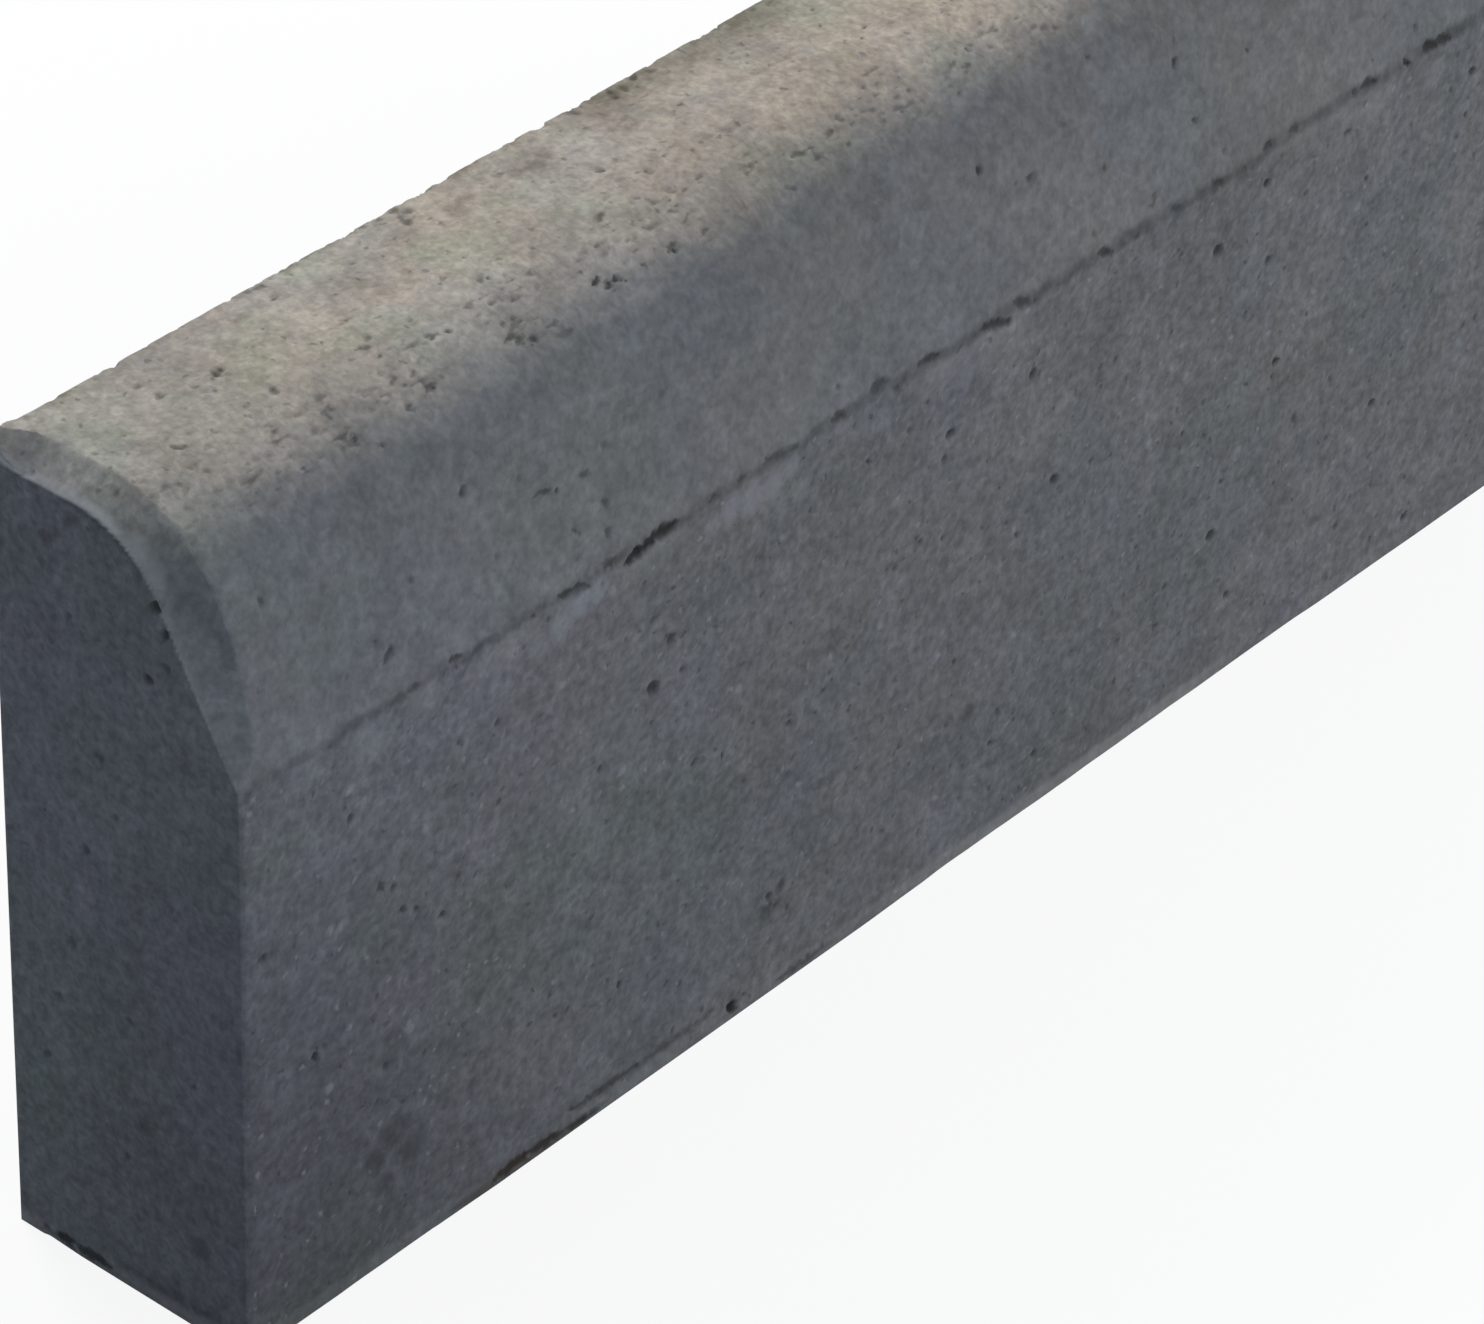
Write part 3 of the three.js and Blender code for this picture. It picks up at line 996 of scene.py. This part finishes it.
        # Rubbed arrises are paler, and along the end's upper arris and the bevel beside it the pale
        # is a painted highlight. The foot is dusty, and on one stretch it is stained instead.
        layers.append((put(RANGE, edge, 0.1, 0.9, 0, 0.75), self.rubbed))
        lip = put(
            TIMES,
            put(RANGE, rise, *past(0, 7.5, 5)),
            open_face,
            put(RANGE, run, *past(left, 290, 370), 0.1, 0.29),
            put(RANGE, stretch(94, 108, 148, 158), 0, 1, 1, 0),
            put(RANGE, run, *past(left, 480, 515), 1, 0.15),
        )
        end_lip = put(TIMES, end, put(RANGE, rise, *past(0, 6.5, 3)), 0.14)
        lip = put(TIMES, put(PLUS, lip, end_lip), put(RANGE, hollow, 0, 0.5, 1, 0))
        foot = put(TIMES, put(RANGE, rise, *past(0, 9, 1), 0, 0.9), stretch(94, 108, 146, 158))
        layers += (lip, self.dust), (put(TIMES, foot, fray), self.rust)
        for mask, tone in layers:
            colour = put(BLEND, mask, colour, linear(tone))

        # Bump: fine sand and the cement skin. The crown is coarser than the rest.
        coarse = put(RANGE, crown, 0, 1, 0.25, 0.65)
        grit = put(TIMES, put(NOISE, coords, per_metre(1.7), 1, 0.5), coarse)
        skin = put(NOISE, coords, per_metre(5), 2)
        surface = None
        for strength, deep, source in ((0.8, 0.35, grit), (0.6, 0.45, skin)):
            surface = put("ShaderNodeBump", strength, deep * MM, None, source, surface)
        roughness = put(RANGE, skin, 0.3, 0.7, 0.84, 0.96)
        shader = put("ShaderNodeBsdfPrincipled", colour, None, roughness)
        shader.inputs["IOR"].default_value = self.ior
        shader.inputs["Specular IOR Level"].default_value = self.gloss
        tree.links.new(surface.outputs["Normal"], shader.inputs["Normal"])
        put("ShaderNodeOutputMaterial", shader)
        return material


@dataclass(frozen=True)
class KerbStone:
    """The stone itself: one casting with its weathered skin."""

    outline: KerbOutline
    line: MouldLine
    smooth_angle: float = 42.0
    same_place: float = 0.001

    def casting(self) -> Mesh:
        """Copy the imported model's mesh and merge its doubles.

        Returns:
            The merged copy.
        """
        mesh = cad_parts[NODE].data.copy()
        work = bmesh.new()
        work.from_mesh(mesh)
        bmesh.ops.remove_doubles(work, verts=work.verts, dist=self.same_place * MM)
        work.to_mesh(mesh)
        work.free()
        return mesh

    def build(self) -> Object:
        """Build the stone, dress it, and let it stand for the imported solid.

        Returns:
            The finished piece.
        """
        finish = PressedConcrete(self.outline, self.line).material()
        mesh = Weathering(self.outline, self.line, finish).weather(self.casting())
        mesh.shade_smooth()
        mesh.set_sharp_from_angle(angle=math.radians(self.smooth_angle))
        stone = place_object("kerb_stone_cast", mesh)
        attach(stone, "root")
        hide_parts(NODE)
        return stone


@dataclass(frozen=True)
class Lamp:
    """One square soft lamp: where it hangs in metres, its side, power and colour."""

    name: str
    place: Triple
    side: float
    power: float
    colour: Triple


@dataclass(frozen=True)
class Studio:
    """A plain pale floor, a soft key light from behind, a soft fill, and an even pale sky."""

    floor_side: float = 12.0
    floor_colour: str = "#c2c2c0"
    white_share: float = 0.88
    sky_colour: Triple = (0.90, 0.97, 1.07)
    sky_level: float = 0.5
    target: Triple = (-0.1, 0.0, 0.2)
    lamps: tuple[Lamp, ...] = (
        Lamp("key", (0.40, 2.10, 2.30), 1.0, 44.0, (1.0, 0.955, 0.885)),
        Lamp("fill", (1.55, -1.45, 1.0), 1.2, 23.0, (1.0, 0.98, 0.94)),
    )

    def seen(self, tree: NodeTree) -> Any:
        """Add the nodes that tell a ray that sees the background from one that lights the stone.

        Args:
            tree: Node tree of the floor or of the sky.

        Returns:
            The node that gives 1 to the camera, to mirrors and to glass, and otherwise 0.
        """
        path = add(tree, "ShaderNodeLightPath")
        seen = path.outputs["Is Camera Ray"]
        for output in ("Is Glossy Ray", "Is Transmission Ray"):
            seen = add(tree, MOST, seen, path.outputs[output])
        return seen

    def floor(self) -> Object:
        """Build the floor, which shows white to the camera and keeps the stone's shadow.

        Returns:
            The floor.
        """
        material = bpy.data.materials.new("Matt white studio floor")
        material.use_nodes = True
        tree = material.node_tree
        tree.nodes.clear()
        put = partial(add, tree)
        matt = put("ShaderNodeBsdfDiffuse", linear(self.floor_colour))
        bright = put("ShaderNodeBsdfDiffuse", linear("#ffffff"))
        white = put("ShaderNodeEmission", linear("#ffffff"), 1.0)
        shown = put("ShaderNodeMixShader", self.white_share, bright, white)
        mixed = put("ShaderNodeMixShader", self.seen(tree), matt, shown)
        put("ShaderNodeOutputMaterial", mixed)
        half = self.floor_side / 2
        mesh = bpy.data.meshes.new("floor")
        corners = [(x * half, y * half, 0.0) for x, y in ((-1, -1), (1, -1), (1, 1), (-1, 1))]
        mesh.from_pydata(corners, [], [(0, 1, 2, 3)])
        mesh.materials.append(material)
        floor = place_object("studio_floor", mesh)
        return floor

    def light(self) -> None:
        """Hang the lamps and light the sky, which shows white to the camera."""
        for lamp in self.lamps:
            data = bpy.data.lights.new(lamp.name, "AREA")
            data.shape = "SQUARE"
            data.size = lamp.side
            data.energy = lamp.power
            data.color = lamp.colour
            obj = place_object(lamp.name, data)
            obj.location = lamp.place
            aim = Vector(self.target) - Vector(lamp.place)
            obj.rotation_euler = aim.to_track_quat("-Z", "Y").to_euler()
        world = bpy.data.worlds.new("Even pale sky")
        world.use_nodes = True
        tree = world.node_tree
        tree.nodes.clear()
        put = partial(add, tree)
        sky = put("ShaderNodeBackground", (*self.sky_colour, 1.0), self.sky_level)
        white = put("ShaderNodeBackground", linear("#ffffff"), 1.0)
        put("ShaderNodeOutputWorld", put("ShaderNodeMixShader", self.seen(tree), sky, white))
        bpy.context.scene.world = world


@dataclass(frozen=True)
class Viewpoint:
    """Where the camera is, in metres, and how it is turned, in degrees."""

    place: Triple = (-1.6150, -1.1410, 1.3747)
    heading: float = 50.935
    dip: float = 35.361
    roll: float = 2.194
    lens: float = 161.34

    def set_up(self) -> Object:
        """Make the camera and give it to the scene.

        Returns:
            The camera.
        """
        heading, dip = math.radians(self.heading), math.radians(self.dip)
        ahead = Vector((math.sin(heading), math.cos(heading), -math.tan(dip))).normalized()
        right = ahead.cross(Vector((0, 0, 1))).normalized()
        turn = Matrix((right, right.cross(ahead), -ahead)).transposed()
        roll = Matrix.Rotation(math.radians(self.roll), 3, "Z")
        data = bpy.data.cameras.new("camera")
        data.lens = self.lens
        data.sensor_width = 36.0
        camera = place_object("camera", data)
        camera.matrix_world = Matrix.Translation(self.place) @ (turn @ roll).to_4x4()
        bpy.context.scene.camera = camera
        return camera


def main() -> None:
    """Build the camera, the studio and the stone, in that order."""
    logging.basicConfig(level=logging.INFO, format="%(name)s: %(message)s")
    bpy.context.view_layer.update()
    bpy.context.scene.view_settings.view_transform = "Standard"
    log.info("camera: %s", Viewpoint().set_up().name)
    studio = Studio()
    studio.light()
    log.info("floor: %s", studio.floor().name)
    outline = KerbOutline.from_box(*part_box(NODE))
    stone = KerbStone(outline, MouldLine(outline.mould_line)).build()
    log.info("stone: %d triangles", len(stone.data.polygons))


if __name__ == "__main__":
    main()
